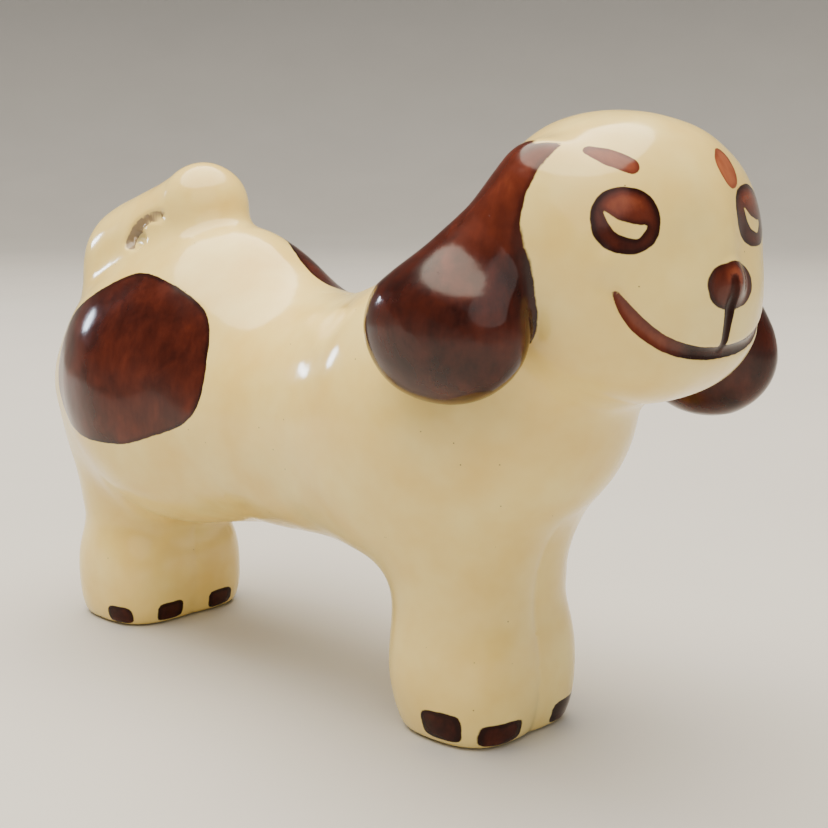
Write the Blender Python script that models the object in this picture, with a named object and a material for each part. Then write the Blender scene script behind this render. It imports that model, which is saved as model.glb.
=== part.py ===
"""Ceramic dog figurine, about 75 mm tall, as the clay pieces that a potter luts together.

The dog stands on the plane z = 0 and faces -Y, with its left side at +X. A hollow trunk and a hollow
head meet in a butt joint across the neck. Two ears, a curled tail and four legs are solid clay, fitted
to the skin of the shells with a thin joint. All lengths are in metres.
"""

from math import radians

import bmesh
import bpy
from mathutils import Matrix, Vector

MM = 0.001

# Joints and walls
WALL = 2.8 * MM
JOINT_GAP = 0.3 * MM
VENT_RADIUS = 1.5 * MM
VENT_LENGTH = 16 * MM

# Stance: forward distances are measured from the middle between the leg pairs
FORWARD_SHIFT = 8.5 * MM  # brings the middle of the whole length to the origin
LEG_REACH_FRONT = 31.2 * MM
LEG_REACH_REAR = -36.0 * MM
LEG_SPREAD = 2.7 * MM
FOOT_HEIGHT = 6.5 * MM

# Heights of the main masses
BELLY_AXIS = 37.0 * MM
HEAD_HEIGHT = 60.0 * MM
HEAD_REACH = 50.4 * MM
NECK_CUT = (38.0 * MM, 50.0 * MM)
NECK_CUT_LEAN = 30.0

# Ears
EAR_SPREAD = 19.4 * MM
EAR_ROOT = 14.6 * MM
LEFT_EAR_SWING = 3.4 * MM
LEFT_EAR_DROP = 4.5 * MM
SIDES = (("left", 1), ("right", -1))

# Glazes
CREAM = (0.84, 0.72, 0.48)
BROWN = (0.10, 0.025, 0.015)
GLAZE_ROUGHNESS = 0.12
SHARP_ANGLE = 50.0

# Surface making
VOXEL = 1.8 * MM
SMOOTH_STEPS = 14
KEEP_SHELL = 0.22
KEEP_LIMB = 0.28
SPHERE_DIVISIONS = 4
ROD_SEGMENTS = 24
FAR = 150 * MM  # beyond the whole object, for cutting blocks


def place(forward, side, up):
    """A point from its distance forward, to the dog's left, and up."""
    return Vector((side, FORWARD_SHIFT - forward, up))


def ellipsoid(forward, side, up, length, width, height, pitch=0.0):
    """An ellipsoid from its centre and its half-sizes, nose up by pitch degrees."""
    return ("ellipsoid", place(forward, side, up), (width, length, height), radians(-pitch))


def limb(start, start_radius, end, end_radius):
    """A tapered round limb between two points given as (forward, side, up)."""
    return ("limb", place(*start), start_radius, place(*end), end_radius)


def add_ellipsoid(mesh, centre, half_sizes, pitch, grow):
    sizes = Matrix.Diagonal([size + grow for size in half_sizes] + [1.0])
    turn = Matrix.Rotation(pitch, 4, "X")
    matrix = Matrix.Translation(centre) @ turn @ sizes
    bmesh.ops.create_icosphere(mesh, subdivisions=SPHERE_DIVISIONS, radius=1.0, matrix=matrix)


def add_limb(mesh, start, start_radius, end, end_radius, grow):
    limb_mesh = bmesh.new()
    for centre, radius in ((start, start_radius), (end, end_radius)):
        matrix = Matrix.Translation(centre)
        bmesh.ops.create_icosphere(
            limb_mesh, subdivisions=SPHERE_DIVISIONS, radius=radius + grow, matrix=matrix
        )
    hull = bmesh.ops.convex_hull(limb_mesh, input=limb_mesh.verts)
    inner = [item for item in hull["geom_interior"] if isinstance(item, bmesh.types.BMVert)]
    bmesh.ops.delete(limb_mesh, geom=inner, context="VERTS")
    data = bpy.data.meshes.new("limb")
    limb_mesh.to_mesh(data)
    limb_mesh.free()
    mesh.from_mesh(data)
    bpy.data.meshes.remove(data)


def apply_modifiers(item):
    """Replaces the object's mesh by its evaluated one, and clears its modifiers."""
    graph = bpy.context.evaluated_depsgraph_get()
    made = bpy.data.meshes.new_from_object(item.evaluated_get(graph))
    item.modifiers.clear()
    old = item.data
    item.data = made
    bpy.data.meshes.remove(old)
    made.name = item.name


def fused(name, forms, grow=0.0, keep=KEEP_LIMB):
    """One closed smooth body over all the forms, each swelled by grow."""
    mesh = bmesh.new()
    for kind, *values in forms:
        if kind == "ellipsoid":
            add_ellipsoid(mesh, *values, grow)
        else:
            add_limb(mesh, *values, grow)
    data = bpy.data.meshes.new(name)
    mesh.to_mesh(data)
    mesh.free()
    item = bpy.data.objects.new(name, data)
    bpy.context.scene.collection.objects.link(item)
    remesh = item.modifiers.new("Fuse", "REMESH")
    remesh.mode = "VOXEL"
    remesh.voxel_size = VOXEL
    smooth = item.modifiers.new("Smooth", "SMOOTH")
    smooth.iterations = SMOOTH_STEPS
    thin = item.modifiers.new("Thin", "DECIMATE")
    thin.ratio = keep
    apply_modifiers(item)
    return item


def box(name, low, high, matrix=None):
    """A closed box between two corners, turned by matrix."""
    mesh = bmesh.new()
    size = Vector(high) - Vector(low)
    middle = (Vector(high) + Vector(low)) / 2
    local = Matrix.Translation(middle) @ Matrix.Diagonal([*size, 1.0])
    bmesh.ops.create_cube(mesh, size=1.0, matrix=(matrix or Matrix.Identity(4)) @ local)
    data = bpy.data.meshes.new(name)
    mesh.to_mesh(data)
    mesh.free()
    item = bpy.data.objects.new(name, data)
    bpy.context.scene.collection.objects.link(item)
    return item


def rod(name, centre, radius, length):
    """A closed upright cylinder."""
    mesh = bmesh.new()
    bmesh.ops.create_cone(
        mesh,
        cap_ends=True,
        segments=ROD_SEGMENTS,
        radius1=radius,
        radius2=radius,
        depth=length,
        matrix=Matrix.Translation(centre),
    )
    data = bpy.data.meshes.new(name)
    mesh.to_mesh(data)
    mesh.free()
    item = bpy.data.objects.new(name, data)
    bpy.context.scene.collection.objects.link(item)
    return item


def cut(item, *cutters):
    """Takes the cutters away from the item."""
    for cutter in cutters:
        cutter.hide_render = True
        cutter.display_type = "WIRE"
        step = item.modifiers.new("Cut " + cutter.name, "BOOLEAN")
        step.operation = "DIFFERENCE"
        step.solver = "EXACT"
        step.object = cutter
    apply_modifiers(item)


def glaze(item, colour):
    """Gives the item its own glossy glaze."""
    material = bpy.data.materials.new(item.name + "_glaze")
    material.use_nodes = True
    shader = material.node_tree.nodes["Principled BSDF"]
    shader.inputs["Base Color"].default_value = (*colour, 1.0)
    shader.inputs["Roughness"].default_value = GLAZE_ROUGHNESS
    shader.inputs["Metallic"].default_value = 0.0
    item.data.materials.clear()
    item.data.materials.append(material)
    item.data.shade_smooth()
    item.data.set_sharp_from_angle(angle=radians(SHARP_ANGLE))


def shell_forms():
    """The rump, the back, the barrel, the chest, the neck, the breast, the head, the muzzle and the nose."""
    return [
        ellipsoid(-26.7 * MM, 0, 38 * MM, 22.2 * MM, 18.2 * MM, 19.8 * MM),
        ellipsoid(-17.5 * MM, 0, 47 * MM, 13.8 * MM, 12.8 * MM, 12.8 * MM),
        limb((-22 * MM, 0, BELLY_AXIS), 17.1 * MM, (20 * MM, 0, BELLY_AXIS), 16.4 * MM),
        ellipsoid(28.5 * MM, 0, 38 * MM, 16.2 * MM, 16.8 * MM, 18.2 * MM),
        limb((31 * MM, 0, 41 * MM), 15.2 * MM, (44 * MM, 0, 56 * MM), 13 * MM),
        ellipsoid(41.5 * MM, 0, 40 * MM, 7.5 * MM, 10.5 * MM, 8.5 * MM),
        ellipsoid(HEAD_REACH, 0, HEAD_HEIGHT, 14.4 * MM, 17.4 * MM, 15.4 * MM),
        ellipsoid(HEAD_REACH + 5.4 * MM, 0, HEAD_HEIGHT - 7 * MM, 9.8 * MM, 13.8 * MM, 9 * MM),
        ellipsoid(HEAD_REACH + 14.2 * MM, 0, HEAD_HEIGHT - 2.8 * MM, 2.1 * MM, 3.1 * MM, 2.6 * MM),
    ]


def ear_forms(side):
    """A flat hanging ear. side is 1 for the left ear, which hangs lower and further forward."""
    drop = LEFT_EAR_DROP if side > 0 else 0
    lobe = 52.8 * MM - drop
    swing = LEFT_EAR_SWING if side > 0 else 0
    across = side * EAR_SPREAD
    root = side * EAR_ROOT
    return [
        limb((50.6 * MM, root, 67.4 * MM), 3.6 * MM, (45.6 * MM + swing, across, lobe), 5.8 * MM),
        limb((49.6 * MM, root, 66 * MM), 3.6 * MM, (41 * MM + swing, across, lobe), 6 * MM),
        ellipsoid(44.5 * MM + swing, side * 20.4 * MM, lobe - 0.8 * MM, 9.4 * MM, 5 * MM, 6.6 * MM),
    ]


def tail_forms():
    """A thick tail that curls up and forward over the rump."""
    return [
        limb((-39.8 * MM, 0, 46 * MM), 9.6 * MM, (-37.4 * MM, 0, 54 * MM), 9.2 * MM),
        limb((-37.4 * MM, 0, 54 * MM), 9.2 * MM, (-22.6 * MM, 0, 62.8 * MM), 7.2 * MM),
        ellipsoid(-27 * MM, 0, 55.5 * MM, 9.8 * MM, 7.8 * MM, 9.2 * MM),
    ]


def leg_forms(forward, side, shank, hip, hip_height):
    """A straight leg on a rounder foot."""
    across = side * LEG_SPREAD
    foot_half_height = FOOT_HEIGHT + 2 * MM
    return [
        limb((forward, across, hip_height), hip, (forward, across, FOOT_HEIGHT), shank),
        ellipsoid(forward, across, FOOT_HEIGHT, shank + 1 * MM, shank + 0.7 * MM, foot_half_height),
    ]


def half_space_above_neck(name, below):
    """A box that holds everything above the neck's joint plane, or everything below it."""
    forward, up = NECK_CUT
    matrix = Matrix.Translation(place(forward, 0, up)) @ Matrix.Rotation(radians(NECK_CUT_LEAN), 4, "X")
    gap = JOINT_GAP / 2
    low = (-FAR, -FAR, -FAR if below else -gap)
    high = (FAR, FAR, gap if below else FAR)
    return box(name, low, high, matrix)


def make_shells():
    """The hollow trunk and the hollow head, parted by the joint across the neck."""
    cavity = fused("cavity", shell_forms(), grow=-WALL, keep=KEEP_SHELL)
    trunk = fused("trunk", shell_forms(), keep=KEEP_SHELL)
    vent = rod("vent_hole", place(0, 0, BELLY_AXIS - VENT_LENGTH), VENT_RADIUS, VENT_LENGTH)
    cut(trunk, cavity, vent)
    head = trunk.copy()
    head.data = trunk.data.copy()
    head.name = "head"
    bpy.context.scene.collection.objects.link(head)
    cut(trunk, half_space_above_neck("above_neck", False))
    cut(head, half_space_above_neck("below_neck", True))
    return trunk, head


def make_legs(skin):
    """Four legs, each cut by the shell's skin, by the plane between the pair and by the table."""
    floor = box("under_floor", (-FAR, -FAR, -FAR), (FAR, FAR, 0))
    legs = []
    for side_name, side in SIDES:
        low = (-FAR if side > 0 else -JOINT_GAP / 2, -FAR, -FAR)
        high = (JOINT_GAP / 2 if side > 0 else FAR, FAR, FAR)
        other_side = box(side_name + "_leg_limit", low, high)
        front = fused(
            side_name + "_front_leg",
            leg_forms(LEG_REACH_FRONT, side, 8.9 * MM, 9.9 * MM, 30 * MM),
        )
        rear = fused(
            side_name + "_rear_leg",
            leg_forms(LEG_REACH_REAR, side, 8.9 * MM, 10.2 * MM, 31 * MM),
        )
        for leg in (front, rear):
            cut(leg, skin, other_side, floor)
            legs.append(leg)
    return legs


def make_figurine():
    for item in list(bpy.data.objects):
        bpy.data.objects.remove(item)
    skin = fused("skin", shell_forms(), grow=JOINT_GAP, keep=KEEP_SHELL)
    trunk, head = make_shells()
    legs = make_legs(skin)
    ears = []
    for side_name, side in SIDES:
        ear = fused(side_name + "_ear", ear_forms(side))
        cut(ear, skin)
        ears.append(ear)
    tail = fused("tail", tail_forms())
    cut(tail, skin)
    for item in (trunk, head, tail, *legs):
        glaze(item, CREAM)
    for ear in ears:
        glaze(ear, BROWN)


make_figurine()
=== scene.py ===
import math
from collections import Counter

import bpy
import numpy as np
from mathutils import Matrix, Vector


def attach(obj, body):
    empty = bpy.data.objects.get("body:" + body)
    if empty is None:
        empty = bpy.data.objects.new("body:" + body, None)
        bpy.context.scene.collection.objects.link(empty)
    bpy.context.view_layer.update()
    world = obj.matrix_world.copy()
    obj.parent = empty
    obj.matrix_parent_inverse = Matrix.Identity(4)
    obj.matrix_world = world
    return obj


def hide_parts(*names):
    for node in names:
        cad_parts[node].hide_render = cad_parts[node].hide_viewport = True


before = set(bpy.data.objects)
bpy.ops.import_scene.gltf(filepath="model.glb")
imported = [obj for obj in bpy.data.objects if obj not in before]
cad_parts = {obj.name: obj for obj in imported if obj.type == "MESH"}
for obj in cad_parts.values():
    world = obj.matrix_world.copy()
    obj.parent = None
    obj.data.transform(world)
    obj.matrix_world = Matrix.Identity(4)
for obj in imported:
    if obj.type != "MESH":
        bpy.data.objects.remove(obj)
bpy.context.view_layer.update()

# Glazed ceramic dog, hand painted.
# Shapes are written in millimetres in the dog's own axes: a forward, b to its left, c up.
# placed() turns them into the frame's metres, where the dog faces -Y.

MM = 0.001
FORWARD_SHIFT = 8.5
GRID = 0.6
SLOPE_STEP = 0.05
FAR_AWAY = 1e3
TINY = 1e-9


# ---------------------------------------------------------------- distance forms

def smooth_min(x, y, blend):
    mix = np.clip(0.5 + 0.5 * (y - x) / blend, 0, 1)
    return y * (1 - mix) + x * mix - blend * mix * (1 - mix)


def smooth_max(x, y, blend):
    return -smooth_min(-x, -y, blend)


def smoothstep(low, high, x):
    t = np.clip((x - low) / (high - low), 0, 1)
    return t * t * (3 - 2 * t)


def ellipsoid(p, centre, radii):
    q = p - np.array(centre)
    r = np.array(radii)
    k0 = np.linalg.norm(q / r, axis=-1)
    k1 = np.linalg.norm(q / r**2, axis=-1)
    return k0 * (k0 - 1) / np.maximum(k1, TINY)


def cushion(p, centre, radii, power):
    """An ellipsoid with squarer shoulders."""
    s = np.abs((p - np.array(centre)) / np.array(radii)) + TINY
    size = (s**power).sum(-1) ** (1 / power)
    slope = np.linalg.norm((s / size[..., None]) ** (power - 1) / np.array(radii), axis=-1)
    return (size - 1) / slope


def limb(p, start, end, start_radius, end_radius, width=1.0):
    """A tapered round-ended bar. A width under 1 makes it flat across b."""
    start, end = np.array(start, float), np.array(end, float)
    axis = end - start
    t = np.clip((p - start) @ axis / (axis @ axis), 0, 1)
    offset = p - start - t[..., None] * axis
    offset[..., 1] /= width
    return (np.linalg.norm(offset, axis=-1) - start_radius - t * (end_radius - start_radius)) * width


def fused(p, shapes):
    """Shapes joined in turn. Each is (form, its places and sizes, how widely it blends into those before)."""
    (form, sizes, _), *others = shapes
    d = form(p, *sizes)
    for form, sizes, blend in others:
        d = smooth_min(d, form(p, *sizes), blend)
    return d


def rise(form, p):
    """How much the form grows over two steps along each axis."""
    ways = SLOPE_STEP * np.eye(3)
    return np.stack([form(p + way) - form(p - way) for way in ways], axis=1)


def gradient(form, p):
    """Unit outward direction."""
    g = rise(form, p)
    return g / np.maximum(np.linalg.norm(g, axis=1, keepdims=True), TINY)


def settled(points, form, rounds=3):
    """Moves the points along the form's slope onto the surface."""
    least_slope = 0.2
    for _ in range(rounds):
        slope = rise(form, points) / (2 * SLOPE_STEP)
        size = np.maximum((slope**2).sum(1), least_slope)
        points = points - slope * np.clip(form(points) / size, -GRID, GRID)[:, None]
    return points


def mirrored(p):
    q = p.copy()
    q[..., 1] = np.abs(q[..., 1])
    return q


# ---------------------------------------------------------------- the dog's parts

TRUNK = (
    (ellipsoid, ((-26.5, 0, 38), (20.8, 17.8, 19.5)), 0),  # rump
    (ellipsoid, ((-16.8, 0, 48.0), (13.5, 12.5, 12.6)), 5),  # loin
    (limb, ((-22, 0, 35.7), (20, 0, 36.2), 16.9, 16.2), 10),  # barrel
    (ellipsoid, ((28.5, 0, 38), (16, 16.5, 18)), 10),  # shoulders
    (limb, ((31, 0, 41), (44, 0, 56), 15, 12.5), 8),  # neck
    (ellipsoid, ((42, 0, 40), (7, 10, 8)), 8),  # chest
)
FRONT_LEG = (
    (limb, ((31.4, 2.6, 32), (30.8, 2.6, 8.5), 9.8, 8.8), 0),
    (cushion, ((32.2, 3.1, 6.6), (8.9, 8.0, 10.0), 2.6), 3),  # foot
)
REAR_LEG = (
    (limb, ((-38.8, 2.6, 36), (-36.4, 2.4, 8.5), 9.8, 8.3), 0),
    (cushion, ((-36.0, 3.2, 6.2), (9.2, 8.9, 9.4), 2.8), 3),  # foot
)
NOSE = (64.4, 0.6, 57.2)
HEAD = (
    (cushion, ((52.4, 0, 60), (12.1, 18.2, 15.0), 2.2), 0),  # face
    (ellipsoid, ((47, 0, 59.5), (12, 12.5, 14.8)), 4),  # back of the head
    (cushion, ((55.6, 0, 53), (9.6, 13.6, 8.8), 2.3), 4),  # jaw
    (ellipsoid, (NOSE, (1.9, 2.9, 2.4)), 0.8),
)
TAIL = (
    (limb, ((-39.2, 0, 46), (-36.4, 0, 54), 8.3, 8.2), 0),  # root
    (limb, ((-36.6, 0, 54), (-22.6, 0, 62.8), 8.2, 6.5), 6),  # curl
    (ellipsoid, ((-27, 0, 55.5), (9.5, 7.5, 9.0)), 4),  # filling under the curl
)
EAR = (
    (limb, ((50.6, 14.2, 68.3), (45.2, 20.2, 53.0), 2.4, 6.3, 0.62), 0),  # middle
    (limb, ((50.0, 14.2, 66.4), (40.6, 19.5, 52.6), 2.0, 6.7, 0.8), 4),  # rear edge
    (limb, ((50.6, 14.8, 66.5), (48.0, 19.6, 54.0), 1.9, 4.2, 0.62), 3),  # front edge
    (ellipsoid, ((44.0, 20.3, 52), (9, 4.6, 6)), 4),  # lower end
)
EAR_SLOPE = 0.85  # scale on the ear's distances
EAR_TOP = 72
EAR_LENGTH = 25
MOST_HANG = 1.3
LEFT_EAR_DROP = 4.2
EAR_SWING = 1.3

FRONT_BLEND = 4
REAR_BLEND = 6
HEAD_BLEND = 5
TAIL_BLEND = 3
EAR_BLEND = 1
EAR_ROOT_BLEND = 2.5
EAR_ROOT = (58, 68)
VENT = 0.0
VENT_TOP = 24.0
VENT_RADIUS = 1.6
VENT_ROUNDING = 0.4
SOLE_ROUNDING = 1.0

PARTS = (
    "trunk", "head", "tail", "left_ear", "right_ear",
    "left_front_leg", "right_front_leg", "left_rear_leg", "right_rear_leg",
)


def ear_form(q, drop):
    """One hanging ear at positive b. drop lowers its lower end, and swings it forward."""
    q = q.copy()
    hang = drop * np.clip((EAR_TOP - q[..., 2]) / EAR_LENGTH, 0, MOST_HANG)
    q[..., 2] += hang
    q[..., 0] -= EAR_SWING * hang
    return EAR_SLOPE * fused(q, EAR)


def part_distances(p):
    """Distance to every part, in the order of PARTS."""
    q = mirrored(p)
    left = p[..., 1] > 0
    distances = [fused(p, shapes) for shapes in (TRUNK, HEAD, TAIL)]
    ear = ear_form(q, np.where(left, LEFT_EAR_DROP, 0))
    for pair in (ear, fused(q, FRONT_LEG), fused(q, REAR_LEG)):
        distances += [np.where(left, pair, FAR_AWAY), np.where(left, FAR_AWAY, pair)]
    return np.stack(distances)


def dog_form(p):
    trunk, head, tail, *pairs = part_distances(p)
    ear, front, rear = (np.minimum(pairs[i], pairs[i + 1]) for i in (0, 2, 4))
    d = smooth_min(trunk, front, FRONT_BLEND)
    d = smooth_min(d, rear, REAR_BLEND)
    d = smooth_min(d, head, HEAD_BLEND)
    d = smooth_min(d, tail, TAIL_BLEND)
    d = smooth_min(d, ear, EAR_BLEND + EAR_ROOT_BLEND * smoothstep(*EAR_ROOT, p[..., 2]))
    vent = VENT_RADIUS - np.hypot(p[..., 0] - VENT, p[..., 1]) - FAR_AWAY * (p[..., 2] > VENT_TOP)
    d = smooth_max(d, vent, VENT_ROUNDING)
    return smooth_max(d, -p[..., 2], SOLE_ROUNDING)


# ---------------------------------------------------------------- painted marks

CURVE_STEPS = 7


def curve(points, closed=False):
    """A smooth curve through the points, as a polyline."""
    points = np.array(points, float)
    if closed:
        ring = np.concatenate([points[-1:], points, points[:2]])
    else:
        ring = np.concatenate([points[:1] * 2 - points[1:2], points, points[-1:] * 2 - points[-2:-1]])
    t = np.linspace(0, 1, CURVE_STEPS, endpoint=False)[:, None]
    spans = []
    for p0, p1, p2, p3 in zip(ring, ring[1:], ring[2:], ring[3:]):
        spans.append(
            0.5 * (2 * p1 + (p2 - p0) * t + (2 * p0 - 5 * p1 + 4 * p2 - p3) * t**2
                   + (3 * p1 - p0 - 3 * p2 + p3) * t**3)
        )
    if not closed:
        spans.append(points[-1:])
    return np.concatenate(spans)


def on_surface(path):
    """A smooth curve through the path's points, laid on the surface. Each point ends with its radius."""
    line = curve(path)
    line[:, :3] = settled(line[:, :3], dog_form, 5)
    return line


def stroke(p, line):
    """Signed distance to a brush stroke along a line from on_surface."""
    best = np.full(len(p), FAR_AWAY)
    for start, end in zip(line, line[1:]):
        axis = end[:3] - start[:3]
        t = np.clip((p - start[:3]) @ axis / (axis @ axis), 0, 1)
        gap = np.linalg.norm(p - start[:3] - t[:, None] * axis, axis=1)
        best = np.minimum(best, gap - start[3] - t * (end[3] - start[3]))
    return best


def outline(flat, points):
    """Signed distance to a smooth closed outline in a plane."""
    ring = curve(points, closed=True)
    best = np.full(len(flat), FAR_AWAY)
    inside = np.zeros(len(flat), bool)
    for start, end in zip(ring, np.roll(ring, -1, axis=0)):
        axis = end - start
        t = np.clip((flat - start) @ axis / (axis @ axis), 0, 1)
        best = np.minimum(best, np.linalg.norm(flat - start - t[:, None] * axis, axis=1))
        crosses = (start[1] > flat[:, 1]) != (end[1] > flat[:, 1])
        height = axis[1] if abs(axis[1]) > TINY else TINY
        inside ^= crosses & (flat[:, 0] < start[0] + axis[0] * (flat[:, 1] - start[1]) / height)
    return np.where(inside, -best, best)


# Eyes and toes are (place, radii). Strokes are points near the surface, each with the brush's radius.
# The glint's points are across and up from the eye's place. Patch outlines are (a, c), seen from the side.
EYES = (
    ((60.4, -12.0, 64.0), (3.75, 3.4)),
    ((62.6, 7.2, 64.0), (5.0, 3.4)),
)
GLINT = (
    (-2.4, 0.95), (-1.55, 0.45), (-0.8, 0.0), (1.2, -0.55), (2.1, -0.55),
    (2.0, -1.0), (1.2, -1.85), (0.3, -1.8), (-1.1, -1.35), (-1.9, -0.45),
)
BROWS = (
    ((56.4, -12.4, 71.1, 0.8), (58.1, -11.6, 70.5, 1.15), (59.8, -10.3, 69.5, 1.05)),
    ((62.9, 3.0, 68.2, 1.3), (62.2, 3.5, 69.0, 2.0), (61.4, 4.0, 69.7, 1.6)),
)
NOSE_MARK = (66.4, 0.6, 57.0)
NOSE_RADII = (4.3, 2.45)
NOSE_LIGHT_PLACE = (-0.3, 1.2)
NOSE_LINE = (
    (66.4, 0.0, 57.8, 0.6), (65.8, 0.2, 55.6, 0.98),
    (65.2, -0.1, 53.2, 0.8), (64.6, -0.3, 50.8, 0.7),
)
MOUTH = (
    (60.6, -13.4, 56.9, 0.2), (61.3, -12.3, 55.0, 0.65), (62.1, -10.9, 53.4, 0.8),
    (63.0, -8.3, 51.7, 0.75), (63.6, -4.5, 50.7, 0.65), (63.8, 0, 50.4, 0.6),
    (63.6, 4.5, 50.6, 0.6), (62.9, 8.3, 51.5, 0.65), (61.8, 11.2, 53.0, 0.6),
    (60.6, 13.4, 55.6, 0.15),
)
THIGH = (
    (-21.5, 54.2), (-12.2, 52.6), (-6.0, 49.0), (-3.6, 43.4), (-3.6, 38.4), (-6.7, 35.2), (-12.8, 32.8),
    (-19.5, 31.0), (-28.8, 31.2), (-35.6, 33.8), (-38.4, 39.6), (-36.4, 46.8), (-29.4, 51.4),
)
FAR_THIGH_SHIFT = (8.0, 4.5)
FAR_THIGH_EDGE = 1.2
FAR_THIGH_ROUNDING = 5
NEAR_THIGH_EDGE = 6
FAR_SIDE_REACH = 10
THIGH_ROUNDING = 3
EAR_ROOT_PAINT = (
    (53.8, 71.6), (53.0, 68.5), (52.2, 63.0), (51.2, 57.0),
    (46.5, 55.5), (44.8, 60.0), (47.6, 66.5), (51.0, 70.8),
)
EAR_ROOT_EDGE = 11
EAR_ROOT_ROUNDING = 2
EAR_PAINT_BLEND = 0.6
EAR_PAINT_MARGIN = 0.35
TOES = (
    ((34.8, 12.0, 2.6), (2.8, 2.0)),
    ((40.6, 6.2, 1.9), (3.1, 1.6)),
    ((-31.2, 11.8, 1.6), (2.2, 1.5)),
    ((-26.4, 4.8, 1.8), (2.3, 1.5)),
)
ROUND_POWER = 2.2
TOE_POWER = 4

# How heavy the paint is, from 0 to 1, and by how much it changes inside a mark.
EYE_LOAD, EYE_THINNING = 0.86, 0.42
BROW_LOADS = (0.42, 0.2)
NOSE_LOAD, NOSE_THINNING = 0.76, 0.34
NOSE_LINE_LOAD = 0.98
MOUTH_LOAD, MOUTH_THINNING = 0.9, 0.42
THIGH_LOAD, THIGH_THICKENING = 0.78, 0.08
TOE_LOAD = 0.9
EAR_LOAD, EAR_THINNING = 0.80, 0.16

MOUTH_LINE, NOSE_DROP = (on_surface(path) for path in (MOUTH, NOSE_LINE))
BROW_LINES = [on_surface(path) for path in BROWS]


def local_frame(point):
    """The nearest point on the surface, and right, up and outward there, as seen from outside."""
    point = settled(np.array([point], float), dog_form)
    normal = gradient(dog_form, point)[0]
    right = np.cross((0, 0, 1), normal)
    right /= np.linalg.norm(right)
    return point[0], right, np.cross(normal, right), normal


def spot(p, centre, radii, power=ROUND_POWER):
    """(signed distance to a round mark on the surface, place in it along right and up)."""
    centre, right, up, normal = local_frame(centre)
    q = p - centre
    flat = np.stack([q @ right, q @ up], axis=1)
    size = (np.abs(flat / np.array(radii)) ** power).sum(1) ** (1 / power)
    off = np.maximum(np.abs(q @ normal) - min(radii), 0)
    return (size - 1) * min(radii) + off, flat


def eye_mark(p, centre, radii):
    """A ring with a bare glint in it, thinner in its upper middle."""
    eye, flat = spot(p, centre, radii)
    glint = outline(flat, GLINT)
    upper = smoothstep(-1.5, 2.5, flat[:, 1])
    middle = smoothstep(0.2, 1.4, -eye)
    return np.maximum(eye, -glint), EYE_LOAD - EYE_THINNING * upper * middle


def nose_mark(p):
    nose, flat = spot(p, NOSE_MARK, NOSE_RADII)
    light = np.exp(-((flat - np.array(NOSE_LIGHT_PLACE)) ** 2).sum(1) / 1.2)
    return nose, NOSE_LOAD - NOSE_THINNING * light


def thigh_mark(p, q):
    """The near patch, and the far one, which reaches over the back."""
    side = p[:, [0, 2]]
    far = outline(side - np.array(FAR_THIGH_SHIFT), THIGH)
    far = smooth_max(far, FAR_THIGH_EDGE - p[:, 1], FAR_THIGH_ROUNDING)
    patch = np.where(p[:, 1] < 0, outline(side, THIGH), far)
    limit = NEAR_THIGH_EDGE - q[:, 1] - FAR_SIDE_REACH * (p[:, 1] > 0)
    patch = smooth_max(patch, limit, THIGH_ROUNDING)
    return patch, THIGH_LOAD + THIGH_THICKENING * smoothstep(36, 50, p[:, 2])


def ear_mark(p, q):
    """The ears, and the paint that runs from their roots onto the head."""
    distances = part_distances(p)
    flaps = np.minimum(distances[PARTS.index("left_ear")], distances[PARTS.index("right_ear")])
    root = outline(p[:, [0, 2]], EAR_ROOT_PAINT)
    root = smooth_max(root, EAR_ROOT_EDGE - q[:, 1], EAR_ROOT_ROUNDING)
    edge = smooth_min(flaps - EAR_PAINT_MARGIN, root, EAR_PAINT_BLEND)
    return edge, EAR_LOAD - EAR_THINNING * smoothstep(*EAR_ROOT, p[:, 2])


def paint(p):
    """Per point: signed distance to the brown paint's edge, negative inside, and how heavy the paint is."""
    q = mirrored(p)
    nose_line = stroke(p, NOSE_DROP)
    marks = [eye_mark(p, centre, radii) for centre, radii in EYES]
    marks += [(stroke(p, line), load) for line, load in zip(BROW_LINES, BROW_LOADS)]
    marks.append(nose_mark(p))
    marks.append((nose_line, NOSE_LINE_LOAD))
    marks.append((stroke(p, MOUTH_LINE), MOUTH_LOAD - MOUTH_THINNING * smoothstep(4, 12, q[:, 1])))
    marks.append(thigh_mark(p, q))
    marks += [(spot(q, centre, radii, TOE_POWER)[0], TOE_LOAD) for centre, radii in TOES]
    marks.append(ear_mark(p, q))
    edges = np.stack([edge for edge, _ in marks])
    loads = np.stack([np.broadcast_to(load, len(p)) for _, load in marks])
    load = np.take_along_axis(loads, edges.argmin(0)[None], 0)[0]
    load = load + (NOSE_LINE_LOAD - load) * smoothstep(0.25, -0.15, nose_line)
    return edges.min(0), load


# ---------------------------------------------------------------- modelled detail

WAVES_DEPTH = 0.05
MOUTH_GROOVE = (0.55, 0.6)
NOSE_GROOVE = (0.15, 0.5)
CURL_GROOVE = (1.2, 0.6)
GROOVE_WIDTH = 0.15
CURL = (
    (-29.2, -7.0, 57.6, 0.8), (-28.2, -7.2, 60.0, 0.65),
    (-26.0, -7.0, 61.4, 0.5), (-23.8, -6.4, 61.8, 0.25),
)
CURL_PIT = (-27.6, -7.2, 57.9)
CURL_PIT_DEPTH = 1.6
CURL_PIT_SPREAD = 2.4
# Reach of the painted shade round the tail curl's pit.
CURL_PIT_SHADE_REACH = 1.1
MOUTH_CORNER = (59.6, 14.0, 57.8)
MOUTH_CORNER_DEPTH = 0.35
MOUTH_CORNER_SPREAD = 1.6
SWELLS = (
    ((65, 0.5, 64.0), 0.45, 2.6),  # bridge of the nose
    ((65, 0.5, 61.0), 0.5, 2.4),
    ((64, 0.5, 67.0), 0.3, 2.8),
    ((60.0, -14.2, 59.8), 0.35, 1.5),  # cheeks
    ((60.0, 14.2, 59.8), 0.35, 1.5),
)
SOLE_EDGE = 1.5

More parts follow.
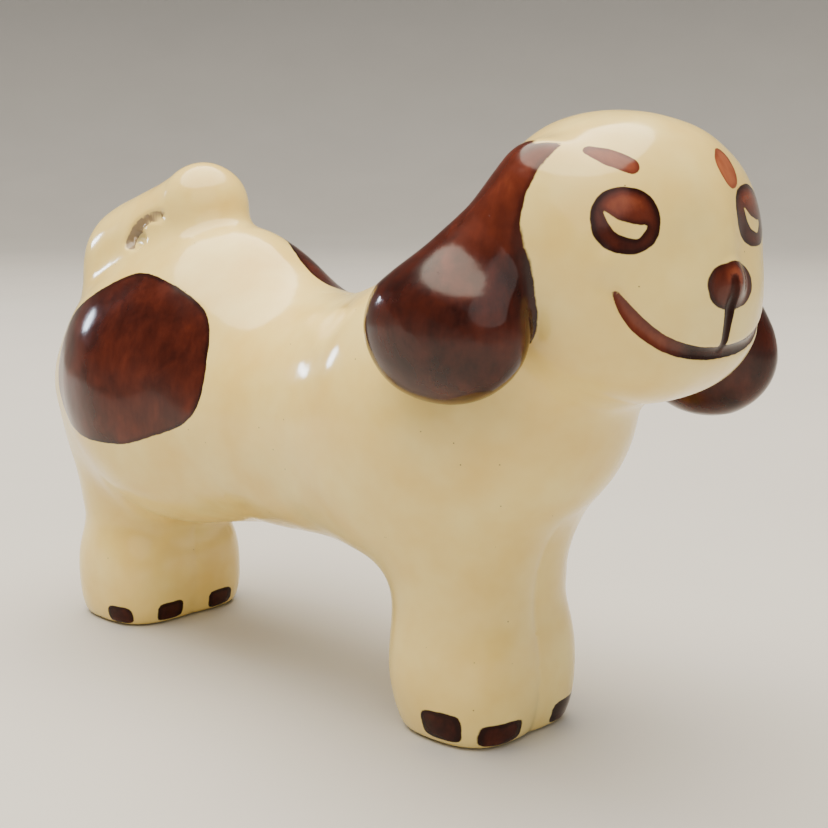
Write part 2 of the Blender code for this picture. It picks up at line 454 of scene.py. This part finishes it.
CURL_LINE = on_surface(CURL)


def groove(p, line, depth, spread):
    """A soft-edged channel along a line."""
    sunk = np.zeros(len(p))
    low, high = line[:, :3].min(0) - 3 * spread, line[:, :3].max(0) + 3 * spread
    near = ((p > low) & (p < high)).all(1)
    bare = line * (1, 1, 1, GROOVE_WIDTH)
    sunk[near] = depth * np.exp(-np.maximum(stroke(p[near], bare), 0) ** 2 / spread**2)
    return sunk


def slow_waves(p):
    """Slow unevenness all over the surface."""
    d = np.sin(p @ (0.31, 0.17, 0.23) + 1.0) + np.sin(p @ (-0.21, 0.35, 0.11) + 2.1)
    return d + 0.6 * np.sin(p @ (0.52, -0.33, 0.41) + 0.4) + 0.5 * np.sin(p @ (-0.37, -0.55, 0.62) + 3.0)


def bump(p, place, squared_spread):
    """1 at the place, fading to 0 round it."""
    return np.exp(-((p - np.array(place)) ** 2).sum(1) / squared_spread)


def relief(p):
    """How far the surface lies under the plain form. It fades out at the soles."""
    sunk = WAVES_DEPTH * slow_waves(p)
    sunk = sunk + groove(p, MOUTH_LINE, *MOUTH_GROOVE)
    sunk = sunk + groove(p, NOSE_DROP, *NOSE_GROOVE)
    sunk = sunk + groove(p, CURL_LINE, *CURL_GROOVE)
    sunk = sunk + CURL_PIT_DEPTH * bump(p, CURL_PIT, CURL_PIT_SPREAD)
    for place, lift, spread in SWELLS:
        sunk = sunk - lift * bump(p, place, spread**2)
    for side in (-1, 1):
        corner = np.array(MOUTH_CORNER) * (1, side, 1)
        sunk = sunk + MOUTH_CORNER_DEPTH * bump(p, corner, MOUTH_CORNER_SPREAD)
    return sunk * smoothstep(0, SOLE_EDGE, p[:, 2])


def detailed_form(p):
    return dog_form(p) + relief(p)


# ---------------------------------------------------------------- surface

GRID_LOW = (-52.0, -31.0, -3.0)
GRID_HIGH = (72.0, 31.0, 80.0)
BLOCK = 4
NEAR_BLOCKS = 1.6


def sample_form(low, high):
    """The form on a grid, worked out only near the surface."""
    counts = np.ceil((high - low) / (BLOCK * GRID)).astype(int)
    centres = [low[i] + GRID * (BLOCK * np.arange(counts[i]) + (BLOCK - 1) / 2) for i in range(3)]
    coarse = dog_form(np.stack(np.meshgrid(*centres, indexing="ij"), -1).reshape(-1, 3)).reshape(counts)
    field = coarse.repeat(BLOCK, 0).repeat(BLOCK, 1).repeat(BLOCK, 2)
    near = np.argwhere(np.abs(field) < NEAR_BLOCKS * BLOCK * GRID)
    field[tuple(near.T)] = dog_form(low + GRID * near)
    return field


def surface_net(field, low):
    """Points and outward quads where the field changes sign."""
    inside = field < 0
    counts = np.zeros(np.array(field.shape) - 1, int)
    for i in (0, 1):
        for j in (0, 1):
            for k in (0, 1):
                counts += inside[i:i - 1 or None, j:j - 1 or None, k:k - 1 or None]
    active = (counts > 0) & (counts < 8)
    index = np.full(active.shape, -1)
    index[active] = np.arange(active.sum())
    points = low + GRID * (np.argwhere(active) + 0.5)
    quads = []
    ways = np.eye(3, dtype=int)
    for axis in range(3):
        here = np.moveaxis(inside, axis, 0)
        starts = np.argwhere(here[:-1] != here[1:])
        starts = np.stack(np.moveaxis(np.insert(starts[:, 1:], axis, starts[:, 0], axis=1), 1, 0), 1)
        across, along = ways[(axis + 1) % 3], ways[(axis + 2) % 3]
        corners = (0 * across, across, across + along, along)
        ring = np.stack([index[tuple((starts - corner).T)] for corner in corners], 1)
        outward = inside[tuple(starts.T)]
        quads.append(np.where(outward[:, None], ring, ring[:, ::-1]))
    return points, np.concatenate(quads)


def quad_edges(quads):
    """Every quad's four edges, in its own direction."""
    return np.concatenate([quads[:, [i, (i + 1) % 4]] for i in range(4)])


def relaxed(points, quads, rounds=3):
    """Evens the spacing of the points."""
    kept = 0.4
    pairs = quad_edges(quads)
    for _ in range(rounds):
        total = np.zeros_like(points)
        np.add.at(total, pairs[:, 0], points[pairs[:, 1]])
        count = np.bincount(pairs[:, 0], minlength=len(points))
        points = kept * points + (1 - kept) * total / count[:, None]
    return points


def finer(points, quads):
    """Each quad in four."""
    edges = np.sort(quad_edges(quads), axis=1)
    unique, inverse = np.unique(edges, axis=0, return_inverse=True)
    middles = len(points) + inverse.reshape(4, -1)
    centres = len(points) + len(unique) + np.arange(len(quads))
    made = [np.stack([quads[:, i], middles[i], centres, middles[i - 1]], 1) for i in range(4)]
    grown = np.concatenate([points, points[unique].mean(1), points[quads].mean(1)])
    return grown, np.concatenate(made)


def rims(quads):
    """The border of a patch of quads, as closed loops of points, in the quads' own direction."""
    uses = Counter(map(tuple, quad_edges(quads).tolist()))
    after = {}
    for (start, end), count in sorted(uses.items()):
        for _ in range(count - uses[end, start]):
            after.setdefault(start, []).append(end)
    loops = []
    while after:
        start = min(after)
        loop = [start]
        while True:
            ends = after[loop[-1]]
            step = ends.pop()
            if not ends:
                del after[loop[-1]]
            if step == start:
                break
            loop.append(step)
        loops.append(loop)
    return loops


def touching(quads):
    """Pairs of quads that share an edge."""
    edges = np.sort(quad_edges(quads), axis=1)
    order = np.lexsort(edges.T)
    same = (edges[order[1:]] == edges[order[:-1]]).all(1)
    return np.stack([order[1:][same], order[:-1][same]]) % len(quads)


def owners(points, quads):
    """Which part each quad belongs to, with each part in one patch."""
    owner = part_distances(points[quads].mean(1)).argmin(0)
    first, second = touching(quads)
    patch = np.arange(len(quads))
    alike = owner[first] == owner[second]
    while True:
        joined = patch.copy()
        np.minimum.at(joined, first[alike], patch[second[alike]])
        np.minimum.at(joined, second[alike], patch[first[alike]])
        joined = joined[joined]
        if (joined == patch).all():
            break
        patch = joined
    sizes = np.bincount(patch, minlength=len(quads))
    stray = np.ones(len(quads), bool)
    for part in range(len(PARTS)):
        mine = np.flatnonzero(owner == part)
        largest = patch[mine][sizes[patch[mine]].argmax()]
        stray[patch == largest] = False
    while stray.any():
        for a, b in ((first, second), (second, first)):
            fixed = stray[a] & ~stray[b]
            owner[a[fixed]] = owner[b[fixed]]
            stray[a[fixed]] = False
    return owner


def placed(points):
    """Frame metres from the dog's millimetres."""
    return MM * np.stack([points[:, 1], FORWARD_SHIFT - points[:, 0], points[:, 2]], axis=1)


def turned(directions):
    """Frame directions from the dog's."""
    return np.stack([directions[:, 1], -directions[:, 0], directions[:, 2]], axis=1)


# How far and how strongly hollows are found, for pooled glaze and for painted shade in the creases.
POOL_SHADE_REACH = 1.2
POOL_SHADE_CONTRAST = 1.75


def pooling_and_shade(points):
    """0.5 on flat ground, towards 1 in hollows and 0 on ridges. The hollows stand for pooled glaze, and also
    for painted shade in the creases.
    """
    ways = POOL_SHADE_REACH * np.eye(3)
    around = sum(dog_form(points + way) + dog_form(points - way) for way in ways) / 6
    return np.clip(0.5 - POOL_SHADE_CONTRAST * (around - dog_form(points)), 0, 1)


def capped(points, quads):
    """The quads as faces, with a fan of triangles over each rim."""
    faces = quads.tolist()
    for loop in rims(quads):
        middle = len(points)
        points = np.concatenate([points, points[loop].mean(0)[None]])
        faces += [[end, start, middle] for start, end in zip(loop, loop[1:] + loop[:1])]
    return points, faces


def make_piece(name, points, quads):
    """One closed body: its share of the skin, with a cap inside over each joint."""
    used, local = np.unique(quads, return_inverse=True)
    points, quads = points[used], local.reshape(-1, 4)
    if name == "head":
        points, quads = finer(points, quads)
    points = settled(points, dog_form, 1)
    edge, load = paint(points)
    # Where the painted shade in the tail curl's groove and pit reaches.
    pit = np.linalg.norm(points - np.array(CURL_PIT), axis=1) - CURL_PIT_SHADE_REACH
    recess = np.minimum(stroke(points, CURL_LINE), pit)
    points = settled(points, detailed_form, 2)
    normals = gradient(detailed_form, points)
    # The pooling value also darkens creases, as painted shade.
    labels = {"paint_edge": edge, "paint_load": load, "glaze_pool_and_shade": pooling_and_shade(points), "recess": recess}
    points, faces = capped(points, quads)
    corner_normals = np.zeros((sum(map(len, faces)), 3))
    corner_normals[: quads.size] = turned(normals)[quads.reshape(-1)]
    mesh = bpy.data.meshes.new(name + "_glazed")
    mesh.from_pydata(placed(points).tolist(), [], faces)
    cap_values = np.ones(len(points) - len(normals))
    for label, values in labels.items():
        data = mesh.attributes.new(label, "FLOAT", "POINT").data
        data.foreach_set("value", np.concatenate([values, cap_values]).astype(np.float32))
    mesh.polygons.foreach_set("use_smooth", [True] * len(faces))
    mesh.normals_split_custom_set(corner_normals.tolist())
    piece = bpy.data.objects.new(name + "_glazed", mesh)
    bpy.context.scene.collection.objects.link(piece)
    return piece


# ---------------------------------------------------------------- glaze

class Shader:
    """Short calls for building one material's nodes."""

    def __init__(self, name):
        self.material = bpy.data.materials.new(name)
        self.material.use_nodes = True
        self.tree = self.material.node_tree
        self.surface = self.tree.nodes["Principled BSDF"]
        self.place = self.node("ShaderNodeTexCoord").outputs["Object"]

    def put(self, socket, value):
        if isinstance(value, bpy.types.NodeSocket):
            self.tree.links.new(value, socket)
        else:
            socket.default_value = value

    def finish(self, name, value):
        """Sets one of the surface's own inputs."""
        self.put(self.surface.inputs[name], value)

    def node(self, kind, inputs=(), **settings):
        made = self.tree.nodes.new(kind)
        for key, value in settings.items():
            setattr(made, key, value)
        for key, value in dict(inputs).items():
            self.put(made.inputs[key], value)
        return made

    def attribute(self, name):
        return self.node("ShaderNodeAttribute", attribute_name=name).outputs["Fac"]

    def height(self):
        return self.node("ShaderNodeSeparateXYZ", {"Vector": self.place}).outputs["Z"]

    def math(self, operation, *values):
        made = self.node("ShaderNodeMath", operation=operation)
        for socket, value in zip(made.inputs, values):
            self.put(socket, value)
        return made.outputs[0]

    def noise(self, size_mm, detail=2.0, roughness=0.5, where=None, distortion=0.0):
        inputs = {
            "Scale": 1 / (size_mm * MM),
            "Detail": detail,
            "Roughness": roughness,
            "Distortion": distortion,
            "Vector": where or self.place,
        }
        return self.node("ShaderNodeTexNoise", inputs).outputs["Fac"]

    def sway(self, amount, *noise, **more_noise):
        """Noise that swings about 0, by half the amount each way at most."""
        centred = self.math("SUBTRACT", self.noise(*noise, **more_noise), 0.5)
        return self.math("MULTIPLY", centred, amount)

    def bump(self, height, strength, depth_mm, below=None):
        inputs = {"Height": height, "Strength": strength, "Distance": depth_mm * MM}
        if below:
            inputs["Normal"] = below
        return self.node("ShaderNodeBump", inputs).outputs[0]

    def ranged(self, value, low, high, out_low=0.0, out_high=1.0, smooth=False):
        made = self.node(
            "ShaderNodeMapRange",
            {"Value": value, "From Min": low, "From Max": high, "To Min": out_low, "To Max": out_high},
            interpolation_type="SMOOTHSTEP" if smooth else "LINEAR",
        )
        return made.outputs["Result"]

    def mix(self, factor, first, second):
        made = self.node("ShaderNodeMix", data_type="RGBA")
        colours = [s for s in made.inputs if s.type == "RGBA"]
        self.put(made.inputs[0], factor)
        self.put(colours[0], first)
        self.put(colours[1], second)
        return next(s for s in made.outputs if s.type == "RGBA")

    def ramp(self, value, stops):
        made = self.node("ShaderNodeValToRGB", {"Fac": value})
        elements = made.color_ramp.elements
        while len(elements) < len(stops):
            elements.new(0.5)
        for element, (place, colour) in zip(elements, stops):
            element.position = place
            element.color = (*colour, 1)
        return made.outputs["Color"]


CREAM = (0.84, 0.60, 0.17, 1)
CREAM_LIGHT = (0.91, 0.73, 0.27, 1)
# The deeper cream below stands for glaze pooling in hollows, and is also painted shade in the creases.
CREAM_POOLED_SHADED = (0.58, 0.39, 0.15, 1)
POOLED_SHADE_STRENGTH = 0.55
# Dark grey-brown painted into the tail curl's groove and pit: painted shade in the recess.
RECESS_SHADE = (0.15, 0.10, 0.08, 1)
RECESS_SHADE_STRENGTH = 0.85
PINHOLE = (0.10, 0.05, 0.025, 1)
PINHOLE_STRENGTH = 0.8
PINHOLE_SPACING = 2.3
PINHOLE_CORE, PINHOLE_RIM = 0.028, 0.045
PINHOLE_PICK = (0.52, 0.54)
BROWNS = (
    (0.0, (0.42, 0.130, 0.050)),
    (0.30, (0.255, 0.062, 0.026)),
    (0.60, (0.115, 0.022, 0.011)),
    (0.85, (0.050, 0.010, 0.006)),
    (1.0, (0.020, 0.005, 0.004)),
)
EDGE_SOFTNESS = 0.06
EDGE_WOBBLE = 0.28
MOTTLE = 0.5
STREAKS = 0.26
STREAK_STRETCH = (1, 0.7, 0.22)
RIM_WIDTH = 0.7
RIM_LOAD = 0.16
RIDGE_THINNING = 0.35
ROUGHNESS = (0.10, 0.19)
COAT_WEIGHT = 0.12
COAT_ROUGHNESS = 0.04
GLAZE_IOR = 1.46
SPECULAR = 0.5
DULLED = (0.1, 0.42)


def pinhole_mask(s):
    """Small dots in some of the cells of an uneven pattern."""
    cells = s.node("ShaderNodeTexVoronoi", {"Vector": s.place, "Scale": 1 / (PINHOLE_SPACING * MM)})
    dot = s.ranged(cells.outputs["Distance"], PINHOLE_CORE, PINHOLE_RIM, 1, 0, True)
    shade = s.node("ShaderNodeSeparateColor", {"Color": cells.outputs["Color"]}).outputs[0]
    return s.math("MULTIPLY", dot, s.ranged(shade, *PINHOLE_PICK))


def cream_colour(s, pool_and_shade, pinholes):
    """Paler and deeper by turns, warmer and darker in hollows for the pooling glaze and as painted shade in
    the creases, painted shade in the tail curl's recess, and pinholes.
    """
    cream = s.mix(s.ranged(s.noise(9, 3, 0.55), 0.3, 0.7), CREAM, CREAM_LIGHT)
    # Darker in hollows: pooled glaze, and painted shade in the creases.
    cream = s.mix(s.ranged(pool_and_shade, 0.6, 1.0, 0, POOLED_SHADE_STRENGTH, True), cream, CREAM_POOLED_SHADED)
    # Painted shade in the tail curl's groove and pit.
    cream = s.mix(s.ranged(s.attribute("recess"), 0.2, -0.2, 0, RECESS_SHADE_STRENGTH, True), cream, RECESS_SHADE)
    return s.mix(s.math("MULTIPLY", pinholes, PINHOLE_STRENGTH), cream, PINHOLE)


def brown_colour(s, rough_edge, load, pool_and_shade):
    """Brushwork: streaks and mottling in the load, a heavier rim, and thinner on ridges."""
    mottle = s.sway(MOTTLE, 4.5, 4, 0.5, distortion=0.5)
    stretch = s.node("ShaderNodeMapping", {"Vector": s.place, "Scale": STREAK_STRETCH}).outputs[0]
    streaks = s.sway(STREAKS, 1.1, 3, 0.6, stretch)
    rim = s.ranged(rough_edge, -RIM_WIDTH, -0.05, 0, RIM_LOAD, True)
    amount = s.math("ADD", s.math("ADD", load, mottle), s.math("ADD", streaks, rim))
    thin = s.ranged(pool_and_shade, 0.42, 0.05, 0, RIDGE_THINNING, True)
    return s.ramp(s.math("SUBTRACT", amount, thin), BROWNS)


def painted_glaze():
    s = Shader("painted_glaze")
    edge, load, pool_and_shade = (s.attribute(name) for name in ("paint_edge", "paint_load", "glaze_pool_and_shade"))
    pinholes = pinhole_mask(s)
    rough_edge = s.math("ADD", edge, s.sway(EDGE_WOBBLE, 1.6, 3))
    cover = s.ranged(rough_edge, EDGE_SOFTNESS, -EDGE_SOFTNESS, 0, 1, True)
    cream = cream_colour(s, pool_and_shade, pinholes)
    brown = brown_colour(s, rough_edge, load, pool_and_shade)
    s.finish("Base Color", s.mix(cover, cream, brown))

    # Thick paint is made duller than the bare glaze, so that thin lines read dark.
    s.finish("Roughness", s.ranged(s.noise(5, 4), 0.3, 0.7, *ROUGHNESS))
    s.finish("Coat Weight", s.ranged(cover, 0, 1, COAT_WEIGHT, 0))
    s.finish("Coat Roughness", COAT_ROUGHNESS)
    s.finish("IOR", GLAZE_IOR)
    dulled = s.math("MULTIPLY", cover, s.ranged(load, 0.8, 0.95, *DULLED))
    s.finish("Specular IOR Level", s.math("SUBTRACT", SPECULAR, dulled))

    # Slow waves, orange peel, and pits at the pinholes.
    waves = s.bump(s.noise(5.5, 2), 0.35, 0.25)
    peel = s.bump(s.noise(0.8, 2), 0.25, 0.02, waves)
    s.finish("Normal", s.bump(s.math("SUBTRACT", 1.0, pinholes), 0.5, 0.06, peel))
    return s.material


# ---------------------------------------------------------------- studio

# The floor and the lights are in metres and watts.
FLOOR_FLAT = 0.9
FLOOR_BEND = 0.7
WALL_HEIGHT = 0.7
FLOOR_SIDES = 96
BEND_STEPS = 12
FLOOR_TONES = ((0.50, 0.495, 0.485, 1), (0.55, 0.545, 0.535, 1))
WALL_TONE = (0.26, 0.255, 0.25, 1)
WALL_TONE_HEIGHTS = (0.02, 0.5)
FLOOR_ROUGHNESS = 0.65
LIGHTS = (
    ("key", (0.0, 0.10, 0.80), (1.30, 1.10), 26.0, (1.0, 0.89, 0.72)),
    ("window", (-0.12, 0.60, 0.22), (0.07, 0.09), 0.6, (0.72, 0.84, 1.0)),
    ("fill", (-0.80, -1.00, 0.90), (1.90, 1.90), 11.0, (1.0, 0.96, 0.90)),
)
LIGHT_TARGET = (0, 0, 0.04)
SKY = (0.9, 0.92, 0.95, 1)
SKY_STRENGTH = 0.3


def floor_profile():
    """Radius and height along the sweep, from the middle out."""
    profile = [(FLOOR_FLAT * 0.5, 0.0), (FLOOR_FLAT, 0.0)]
    for i in range(1, BEND_STEPS + 1):
        angle = math.pi / 2 * i / BEND_STEPS
        profile.append((FLOOR_FLAT + FLOOR_BEND * math.sin(angle), FLOOR_BEND * (1 - math.cos(angle))))
    profile.append((FLOOR_FLAT + FLOOR_BEND, FLOOR_BEND + WALL_HEIGHT))
    return profile


def floor_material():
    s = Shader("pale_floor")
    tone = s.mix(s.noise(60, 3), *FLOOR_TONES)
    tone = s.mix(s.ranged(s.height(), *WALL_TONE_HEIGHTS, 0, 1, True), tone, WALL_TONE)
    s.finish("Base Color", tone)
    s.finish("Roughness", FLOOR_ROUGHNESS)
    return s.material


def make_floor():
    """A pale sweep: a flat disc that curves up into a wall all round."""
    profile = floor_profile()
    points, faces = [(0.0, 0.0, 0.0)], []
    for radius, height in profile:
        for i in range(FLOOR_SIDES):
            turn = 2 * math.pi * i / FLOOR_SIDES
            points.append((radius * math.cos(turn), radius * math.sin(turn), height))
    for i in range(FLOOR_SIDES):
        j = (i + 1) % FLOOR_SIDES
        faces.append((0, 1 + i, 1 + j))
        for ring in range(len(profile) - 1):
            low, high = 1 + ring * FLOOR_SIDES, 1 + (ring + 1) * FLOOR_SIDES
            faces.append((low + i, high + i, high + j, low + j))
    mesh = bpy.data.meshes.new("floor")
    mesh.from_pydata(points, [], faces)
    mesh.polygons.foreach_set("use_smooth", [True] * len(faces))
    floor = bpy.data.objects.new("floor", mesh)
    bpy.context.scene.collection.objects.link(floor)
    mesh.materials.append(floor_material())


def area_light(name, place, size, power, colour):
    data = bpy.data.lights.new(name, "AREA")
    data.shape = "ELLIPSE"
    data.size, data.size_y = size
    data.energy = power
    data.color = colour
    light = bpy.data.objects.new(name, data)
    light.location = place
    light.rotation_euler = (Vector(LIGHT_TARGET) - Vector(place)).to_track_quat("-Z", "Y").to_euler()
    bpy.context.scene.collection.objects.link(light)


def make_studio():
    make_floor()
    for light in LIGHTS:
        area_light(*light)
    world = bpy.data.worlds.new("studio")
    world.use_nodes = True
    background = world.node_tree.nodes["Background"]
    background.inputs["Color"].default_value = SKY
    background.inputs["Strength"].default_value = SKY_STRENGTH
    bpy.context.scene.world = world


CAMERA_SIDE = -131.6
CAMERA_FORWARD = 146.8
CAMERA_HEIGHT = 71.0
CAMERA_TURN = 44.0
CAMERA_PITCH = 10.3
CAMERA_NEAR = 0.01
SENSOR = 36.0
LENS = 63.04


def make_camera():
    data = bpy.data.cameras.new("camera")
    data.sensor_width = SENSOR
    data.lens = LENS
    data.clip_start = CAMERA_NEAR
    camera = bpy.data.objects.new("camera", data)
    camera.location = Vector((CAMERA_SIDE, FORWARD_SHIFT - CAMERA_FORWARD, CAMERA_HEIGHT)) * MM
    camera.rotation_euler = (math.radians(90 - CAMERA_PITCH), 0, math.radians(CAMERA_TURN - 90))
    bpy.context.scene.collection.objects.link(camera)
    bpy.context.scene.camera = camera


# ---------------------------------------------------------------- build

def make_dog():
    low, high = np.array(GRID_LOW), np.array(GRID_HIGH)
    points, quads = surface_net(sample_form(low, high), low)
    points = settled(points, dog_form)
    points = settled(relaxed(points, quads), dog_form)
    owner = owners(points, quads)
    glaze = painted_glaze()
    for i, name in enumerate(PARTS):
        piece = make_piece(name, points, quads[owner == i])
        piece.data.materials.append(glaze)
        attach(piece, "root")
        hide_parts(name)


make_dog()
make_studio()
make_camera()
